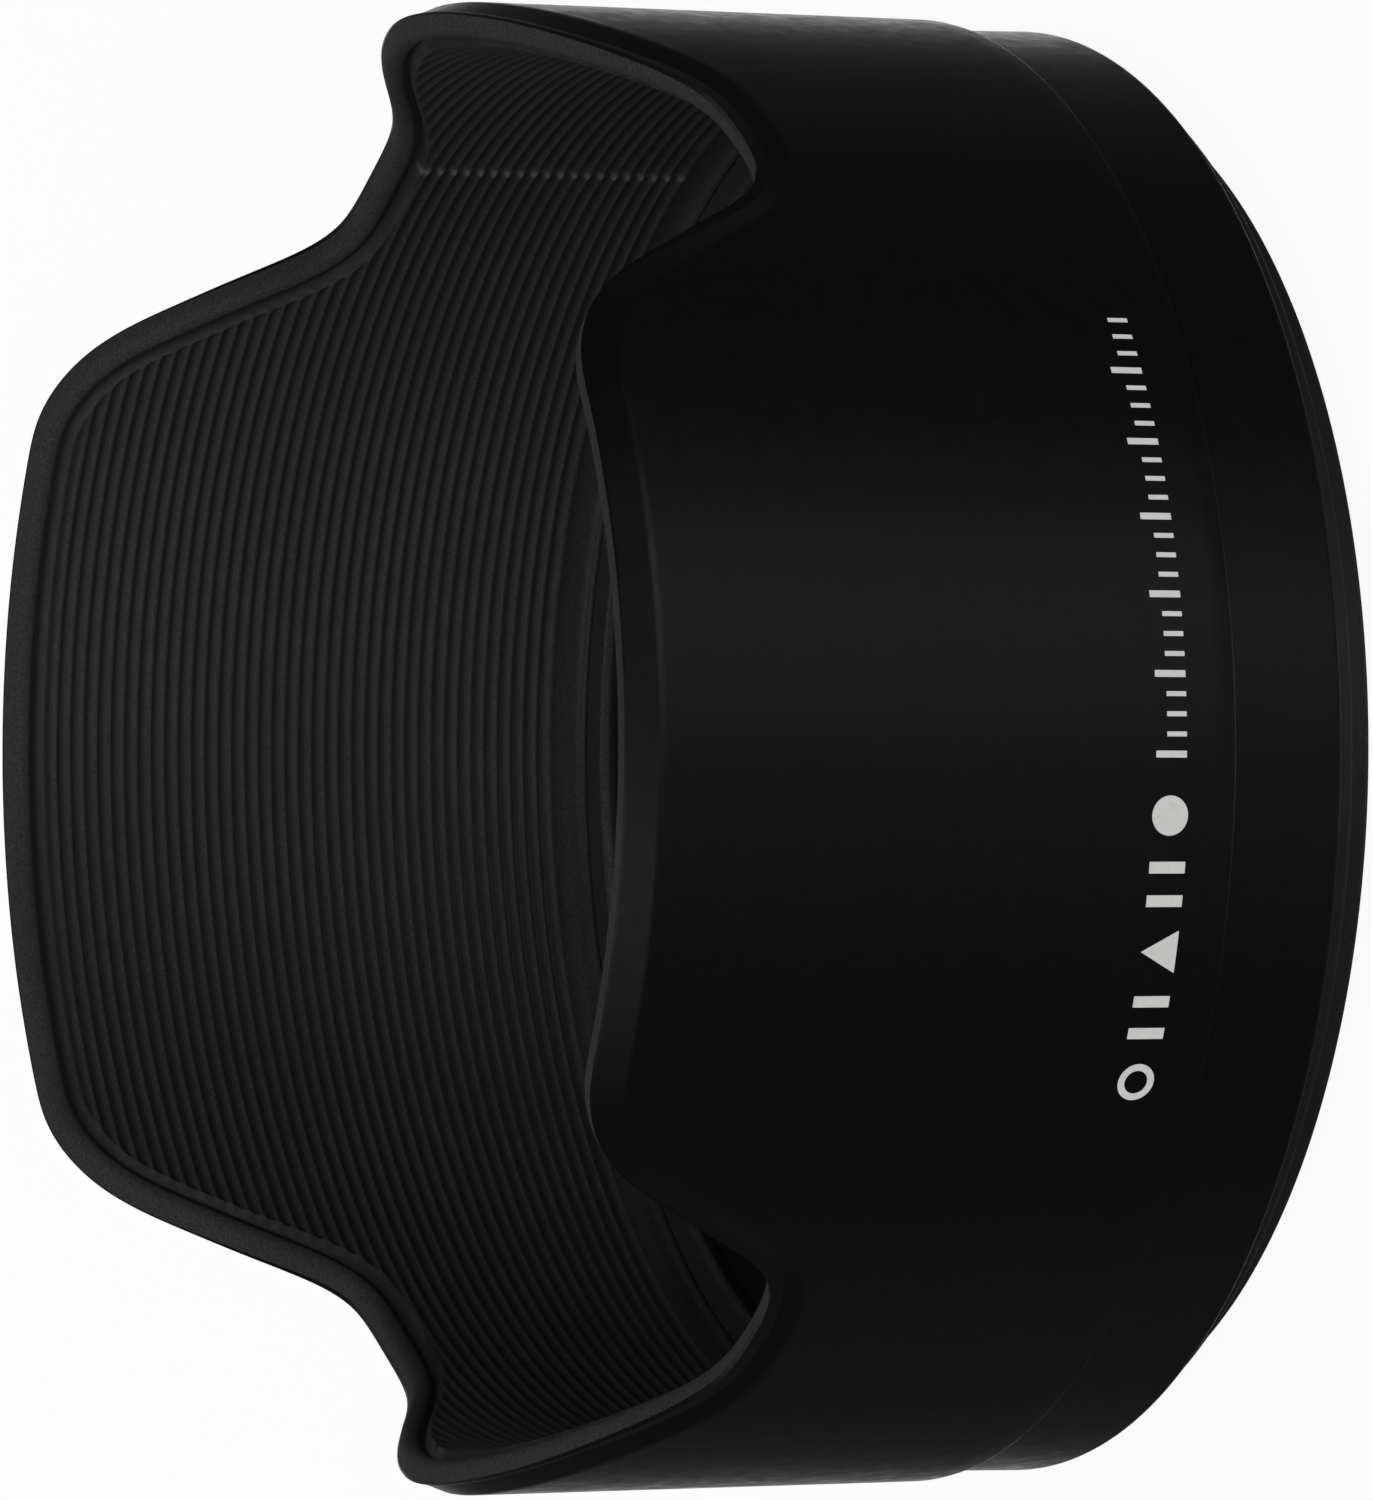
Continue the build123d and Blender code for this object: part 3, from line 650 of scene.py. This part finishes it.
def build_liner():
    edge_angle, edge_z = inset(petal_edge(158), LINER_INSET)
    order = np.argsort(edge_angle)
    edge_angle, edge_z = edge_angle[order], edge_z[order]
    extra = [line + np.radians(np.linspace(-0.75, 0.75, 11))
             for line in (PARTING, PARTING + math.pi)]
    angle = np.sort(np.concatenate([edge_angle, *extra]))
    turn = 2 * math.pi
    top = np.interp(angle, np.concatenate([edge_angle - turn, edge_angle, edge_angle + turn]),
                    np.tile(edge_z, 3))

    off = parting_degrees(angle)
    ridge = np.exp(-(off / 0.36) ** 2)
    side = np.where(np.cos(angle - PARTING) > 0, 1, -1)
    jog = PARTING_JOG * (np.clip(side * off / 0.5, -1, 1) * 0.5 + 0.5)
    jog = jog * np.clip((25 - np.abs(off)) / 20, 0, 1)      # fades away from the line

    rim = top - LINER_RIM
    rings = [(angle, inner_r(top) - LINER_GAP, top), (angle, 37.87, top),
             (angle, 37.84, top - 0.10), (angle, rib_r(rim), rim)]
    for i in range(GROOVE_COUNT):
        middle = GROOVE_FIRST_Z - GROOVE_PITCH * i
        for rise, depth, ridge_height in GROOVE_SECTION:
            wanted_z = middle + rise + jog
            z = np.minimum(wanted_z, rim)
            radius = rib_r(middle) + depth - ridge * ridge_height
            run_out = np.clip((rim - wanted_z) / GROOVE_RUN_OUT, 0, 1)
            rings.append((angle, rib_r(z) + (radius - rib_r(z)) * run_out, z))
    foot = [(rib_r(GROOVE_LAST_Z), GROOVE_LAST_Z - 0.58), (37.25, GROOVE_LAST_Z - 0.82),
            (37.25, 11.80), (37.20, 11.50), (37.02, 11.26), (36.62, 11.13)]
    rings += [(angle, r - ridge * FOOT_RIDGE, z) for r, z in foot]
    rings.append((angle, inner_r(SEAT_Z) - LINER_GAP, SEAT_Z + 0.02))
    liner = closed_band("ribbed_light_trap", rings)

    # Painted shade on the floors of the grooves, and a painted highlight on the crests along the
    # parting line.
    x, y, z = np.array([v.co for v in liner.data.vertices], float).T / MM
    radius = np.hypot(x, y)
    depth = radius - rib_r(z)
    tag(liner, "shade", np.clip(depth / GROOVE_DEPTH, 0, 1) * (z > GROOVE_LAST_Z - 0.45))
    near_parting = np.exp(-(parting_degrees(np.arctan2(x, y)) / 0.42) ** 2)
    tag(liner, "parting_highlight",
        near_parting * np.clip(1 - depth / 0.12, 0, 1) * (z > 13.0) * (radius < 37.8))
    return liner


# ----------------------------------------------------------- printed marks
# Mark angles run from -Y towards +X, in degrees.
MARK_Z = 13.5
MARK_PROUD, MARK_SUNK = 0.012, 0.055        # faces of the marks off the barrel surface
DEG_PER_MM = math.degrees(1 / STEP_R)
SCALE_START, SCALE_SPAN, SCALE_BARS = -2.3, 35.4, 24
WIDE_BARS = (-24.2, -21.6, -13.6, -11.0)
ARROW_ANGLE = -17.6
OPEN_CIRCLE_ANGLE, SOLID_CIRCLE_ANGLE = -28.3, -7.0
MARK_HALF = 1.05            # half height of arrow and wide bars, radius of the circles
ARROW_HALF_WIDTH = 1.15
CIRCLE_HOLE_R = 0.66


def printed_marks(name, shapes):
    """Flat shapes, each a list of one outline or an outer and an inner one with points
    (angle, z), cut into narrow facets and wrapped on the barrel as thin solids."""
    bm = bmesh.new()
    for shape in shapes:
        loops = [[bm.verts.new((a, z, 0)) for a, z in outline] for outline in shape]
        if len(loops) == 2:
            outer, inner = loops
            for i in range(len(outer)):
                j = (i + 1) % len(outer)
                bm.faces.new((outer[i], outer[j], inner[j], inner[i]))
        else:
            bm.faces.new(loops[0])
    low, high = min(v.co.x for v in bm.verts), max(v.co.x for v in bm.verts)
    for a in np.arange(math.floor(low), high + 0.5, 0.5):
        bmesh.ops.bisect_plane(bm, geom=bm.verts[:] + bm.edges[:] + bm.faces[:],
                               plane_co=(a, 0, 0), plane_no=(1, 0, 0), dist=1e-5)
    bmesh.ops.recalc_face_normals(bm, faces=bm.faces)
    extruded = bmesh.ops.extrude_face_region(bm, geom=bm.faces[:])
    for item in extruded["geom"]:
        if isinstance(item, bmesh.types.BMVert):
            item.co.z = -1.0
    for v in bm.verts:
        a, z, level = math.radians(v.co.x), v.co.y, v.co.z
        r = outer_r(z) + (MARK_PROUD if level > -0.5 else -MARK_SUNK)
        v.co = (r * math.sin(a) * MM, -r * math.cos(a) * MM, z * MM)
    bmesh.ops.remove_doubles(bm, verts=bm.verts, dist=1e-7)
    bmesh.ops.recalc_face_normals(bm, faces=bm.faces)
    mesh = bpy.data.meshes.new(name)
    bm.to_mesh(mesh)
    bm.free()
    shade(mesh, 40)
    return link_object(name, mesh)


def bar(angle, width, below, above):
    half = width / 2 * DEG_PER_MM
    z0, z1 = MARK_Z - below, MARK_Z + above
    return rounded([(angle - half, z0), (angle + half, z0), (angle + half, z1),
                    (angle - half, z1)], 0.03, 2)


def circle(angle, radius, points=48):
    return [(angle + radius * DEG_PER_MM * math.cos(t), MARK_Z + radius * math.sin(t))
            for t in np.arange(points) / points * 2 * math.pi]


def build_scale():
    bars = []
    for i in range(SCALE_BARS):
        width, above = (0.36, 0.9) if i % 4 == 0 else (0.26, 0.25)
        angle = SCALE_START + SCALE_SPAN / (SCALE_BARS - 1) * i
        bars.append([bar(angle, width, 0.9, above)])
    bars += [[bar(angle, 0.62, MARK_HALF, MARK_HALF)] for angle in WIDE_BARS]
    return printed_marks("alignment_scale", bars)


def build_arrow():
    half = ARROW_HALF_WIDTH * DEG_PER_MM
    outline = rounded([(ARROW_ANGLE - half, MARK_Z - MARK_HALF),
                       (ARROW_ANGLE + half, MARK_Z - MARK_HALF),
                       (ARROW_ANGLE, MARK_Z + MARK_HALF)], 0.04, 2)
    return printed_marks("index_arrow", [[outline]])


def build_circles():
    ring_shape = [circle(OPEN_CIRCLE_ANGLE, MARK_HALF), circle(OPEN_CIRCLE_ANGLE, CIRCLE_HOLE_R)]
    return printed_marks("lock_circles", [ring_shape, [circle(SOLID_CIRCLE_ANGLE, MARK_HALF)]])


# ------------------------------------------------------------ bayonet ring
# Turned section: radius, z, corner radius.
RING_SECTION = [
    (34.40, 0.0, 0.25), (35.50, 0.0, 0.45), (35.50, 1.85, 0.05), (37.30, 1.85, 0.4),
    (37.30, 2.98, 0.02), (36.60, 2.98, 0.02), (36.60, 11.12, 0.03), (34.90, 11.12, 0.22),
    (34.90, 9.8, 0.05), (33.05, 9.8, 0.12), (33.05, 8.2, 0.12), (34.40, 8.2, 0.05),
]
RING_COLUMNS = 360
LUG_ANGLES, LUG_HALF_ANGLE = (30.0, 150.0, 270.0), 22
SCREW_ANGLES, SCREW_Z = (60.0, 180.0, 300.0), 5.4
SCREW_HOLE = [(1.66, -0.12), (0.82, 0.72), (0.82, 2.6)]     # radius, distance outward


def build_ring():
    angles = np.arange(RING_COLUMNS) / RING_COLUMNS * 2 * math.pi
    section = rounded([row[:2] for row in RING_SECTION], [row[2] for row in RING_SECTION], 5)
    ring = closed_band("bayonet_collar", [(angles, r, z) for r, z in section], sharp=50)
    for a in LUG_ANGLES:
        lug = sector("lug", (33.2, 34.7), (a - LUG_HALF_ANGLE, a + LUG_HALF_ANGLE), (1.2, 2.5))
        boolean(ring, lug, "UNION")
    # Slot through the wall at the lever's height, then a shallow recess inside.
    boolean(ring, sector("cutter", (34.0, 38.0), (LEVER_START, 20.2), LEVER_Z))
    boolean(ring, sector("cutter", (34.0, 34.94), (-24.1, 24.1), (2.87, 8.03)))
    cut_window(ring)
    # Screw holes, countersunk from the inside.
    for a in SCREW_ANGLES:
        boolean(ring, radial_pin("cutter", SCREW_HOLE, a, SCREW_Z, base_r=34.4))
    shade(ring.data, 35)
    return ring


# ---------------------------------------------------------- release button
GRIP_PITCH = 1.5


def build_button():
    button = latch_block("release_push_button", BUTTON_WIDTH, BUTTON_Z, radii=(36.62, 39.2),
                         corner=0.6, crown=0.3)
    # Four upright grooves in the outer face.
    for k in (-1.5, -0.5, 0.5, 1.5):
        x = k * GRIP_PITCH
        section = [(x - 0.22, 39.5), (x + 0.22, 39.5), (x + 0.12, 38.95), (x - 0.12, 38.95)]
        verts = [LATCH_FRAME @ (Vector((across, z, r)) * MM)
                 for z in (4.8, 7.8) for across, r in section]
        faces = end_caps(2, 4) + skin(2, 4, flip=True)
        boolean(button, make("cutter", verts, faces))
    shade(button.data, 30)
    return button


# ----------------------------------------------------------- return spring
SPRING_ENDS = (35.07, 37.90)        # radii from the hood axis
SPRING_Z = 5.5
COIL_R, WIRE_R = 0.82, 0.13
TURNS, STEPS_PER_TURN, WIRE_SIDES = 4.5, 30, 10
END_TURNS, END_RISE = 0.6, 0.15     # the nearly closed turns at each end


def build_spring():
    inner, outer = SPRING_ENDS
    path = []
    for k in range(int(TURNS * STEPS_PER_TURN) + 1):
        turn = k / STEPS_PER_TURN
        height = np.interp(turn, [0, END_TURNS, TURNS - END_TURNS, TURNS],
                           [inner, inner + END_RISE, outer - END_RISE, outer])
        a = 2 * math.pi * turn
        path.append(Vector((COIL_R * math.cos(a), COIL_R * math.sin(a), height)))
    verts = []
    for k, point in enumerate(path):
        tangent = (path[min(k + 1, len(path) - 1)] - path[max(k - 1, 0)]).normalized()
        outward = Vector((point.x, point.y, 0)).normalized()
        across = tangent.cross(outward).normalized()
        for j in range(WIRE_SIDES):
            a = 2 * math.pi * j / WIRE_SIDES
            q = point + outward * (WIRE_R * math.cos(a)) + across * (WIRE_R * math.sin(a))
            verts.append(LATCH_FRAME @ (Vector((q.x, q.y + SPRING_Z, q.z)) * MM))
    faces = skin(len(path), WIRE_SIDES, flip=True) + end_caps(len(path), WIRE_SIDES)
    return make("lock_return_spring", verts, faces, sharp=50)


# --------------------------------------------------------- build and dress
edge = petal_edge(170)
shell = build_shell(edge)
trim = build_trim(edge)
liner = build_liner()
scale = build_scale()
arrow = build_arrow()
circles = build_circles()
ring = build_ring()
button = build_button()

dress(shell, "satin_black_shell", "outer_shell")
dress(trim, "matte_trim", "edge_trim")
dress(liner, "matte_liner", "ribbed_liner")
dress(ring, "ring_plastic", "bayonet_ring")
dress(scale, "white_paint", "scale_ticks")
dress(arrow, "white_paint", "index_triangle")
dress(circles, "white_paint", "lock_circle_marks")
dress(button, "button_plastic", "release_button", part="latch")

spring = build_spring()
dress(spring, "spring_steel", "latch_spring")
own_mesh(spring)

# CAD pieces that keep their own mesh.
CAD_MATERIALS = {
    "latch_lever": "lever_plastic", "pivot_pin": "pin_steel", "latch_cover": "cover_plastic",
    "cover_screws": "screw_steel", "ring_screws": "screw_steel",
}
for node, material in CAD_MATERIALS.items():
    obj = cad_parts[node]
    if obj.material_slots:
        for slot in obj.material_slots:
            slot.material = MATERIALS[material]
    else:
        obj.data.materials.append(MATERIALS[material])


# ------------------------------------------------------------------- floor
def build_floor():
    """Pale floor just below the hood. It glows for the camera and is hidden from the
    hood's own light."""
    mesh = bpy.data.meshes.new("studio_floor")
    mesh.from_pydata([(-6, -6, 0), (6, -6, 0), (6, 6, 0), (-6, 6, 0)], [], [(0, 1, 2, 3)])
    floor = link_object("studio_floor", mesh)
    floor.location.z = -0.0002

    material = bpy.data.materials.new("pale_floor")
    tree = cleared_tree(material)
    output = add_node(tree, "OutputMaterial")
    plain = add_node(tree, "BsdfDiffuse", {0: (0.30, 0.30, 0.30, 1)})
    glow = add_node(tree, "Emission", {"Strength": 0.93})
    matte = add_node(tree, "BsdfDiffuse", {0: (0.25, 0.25, 0.25, 1)})
    glowing = add_node(tree, "AddShader", {0: glow.outputs[0], 1: matte.outputs[0]})
    camera_switch(tree, output, others=plain.outputs[0], camera=glowing.outputs[0])
    mesh.materials.append(material)

    floor.visible_diffuse = False
    floor.visible_glossy = False
    floor.visible_transmission = False
    floor.visible_shadow = False


# ------------------------------------------------------------- world light
BASE_LIGHT = 0.06
# Soft lobes: azimuth from -Y towards +X, elevation, sharpness, strength.
LOBES = [
    (-45, 45, 6, 0.24), (-20, 30, 20, 0.80), (-30, 15, 20, 0.13), (180, 30, 6, 0.12),
    (0, -30, 6, 0.135), (20, -22, 50, 0.12), (20, -8, 25, 1.10), (175, -25, 40, 1.5),
    (165, -22, 8, 0.03), (-90, -25, 10, 0.05), (140, 35, 14, 0.22), (-150, 35, 14, 0.25),
    (0, 85, 8, 0.06), (15, -74, 30, 0.8),
]


def build_world():
    """Lobed light on the hood, plain white for the camera."""
    world = bpy.data.worlds.new("studio")
    bpy.context.scene.world = world
    tree = cleared_tree(world)
    output = add_node(tree, "OutputWorld")
    coords = add_node(tree, "TexCoord").outputs["Generated"]
    total = math_node(tree, "ADD", BASE_LIGHT, 0.0)
    for azimuth, elevation, sharpness, strength in LOBES:
        az, el = math.radians(azimuth), math.radians(elevation)
        direction = (math.sin(az) * math.cos(el), -math.cos(az) * math.cos(el), math.sin(el))
        facing = add_node(tree, "VectorMath", {1: direction}, operation="DOT_PRODUCT")
        unit = add_node(tree, "VectorMath", {0: coords}, operation="NORMALIZE")
        tree.links.new(unit.outputs[0], facing.inputs[0])
        lobe = math_node(tree, "MAXIMUM", facing.outputs["Value"], 0.0)
        lobe = math_node(tree, "POWER", lobe, sharpness)
        lobe = math_node(tree, "MULTIPLY", lobe, strength)
        total = math_node(tree, "ADD", total, lobe)
    white = (1, 1, 1, 1)
    lobes = add_node(tree, "Background", {"Color": white, "Strength": total})
    backdrop = add_node(tree, "Background", {"Color": white, "Strength": 1.0})
    camera_switch(tree, output, others=lobes.outputs[0], camera=backdrop.outputs[0])


# ------------------------------------------------------------------ camera
VIEW_ELEVATION, VIEW_YAW = math.radians(25.70), math.radians(2.10)
VIEW_ROLL = 0.0041          # radians
VIEW_DISTANCE = 1453.6
VIEW_SHIFT_Z = 11.80        # moves the camera towards the petal end
VIEW_SHIFT_DOWN = 0.028286
LENS = 653.66648


def build_camera():
    """View from -Y and above, turned so that the mount end is on the right."""
    level = Vector((-math.sin(VIEW_YAW), -math.cos(VIEW_YAW), 0))
    side = Vector((math.cos(VIEW_YAW), -math.sin(VIEW_YAW), 0))
    axis = Vector((0, 0, 1))
    back = level * math.cos(VIEW_ELEVATION) + axis * math.sin(VIEW_ELEVATION)
    to_mount = level * math.sin(VIEW_ELEVATION) - axis * math.cos(VIEW_ELEVATION)
    right = to_mount * math.cos(VIEW_ROLL) + side * math.sin(VIEW_ROLL)
    up = -to_mount * math.sin(VIEW_ROLL) + side * math.cos(VIEW_ROLL)
    position = (axis * STEP_Z - to_mount * VIEW_SHIFT_Z + back * VIEW_DISTANCE
                - up * VIEW_SHIFT_DOWN)
    data = bpy.data.cameras.new("main_view")
    data.sensor_width = 36.0
    data.sensor_fit = "AUTO"
    data.lens = LENS
    data.clip_start, data.clip_end = 0.05, 60
    camera = link_object("main_view", data)
    camera.matrix_world = Matrix((right, up, back)).transposed().to_4x4()
    camera.location = position * MM
    bpy.context.scene.camera = camera


build_floor()
build_world()
build_camera()

view = bpy.context.scene.view_settings
view.view_transform = "Standard"
view.look = "None"
view.exposure = 0.0
view.gamma = 1.0
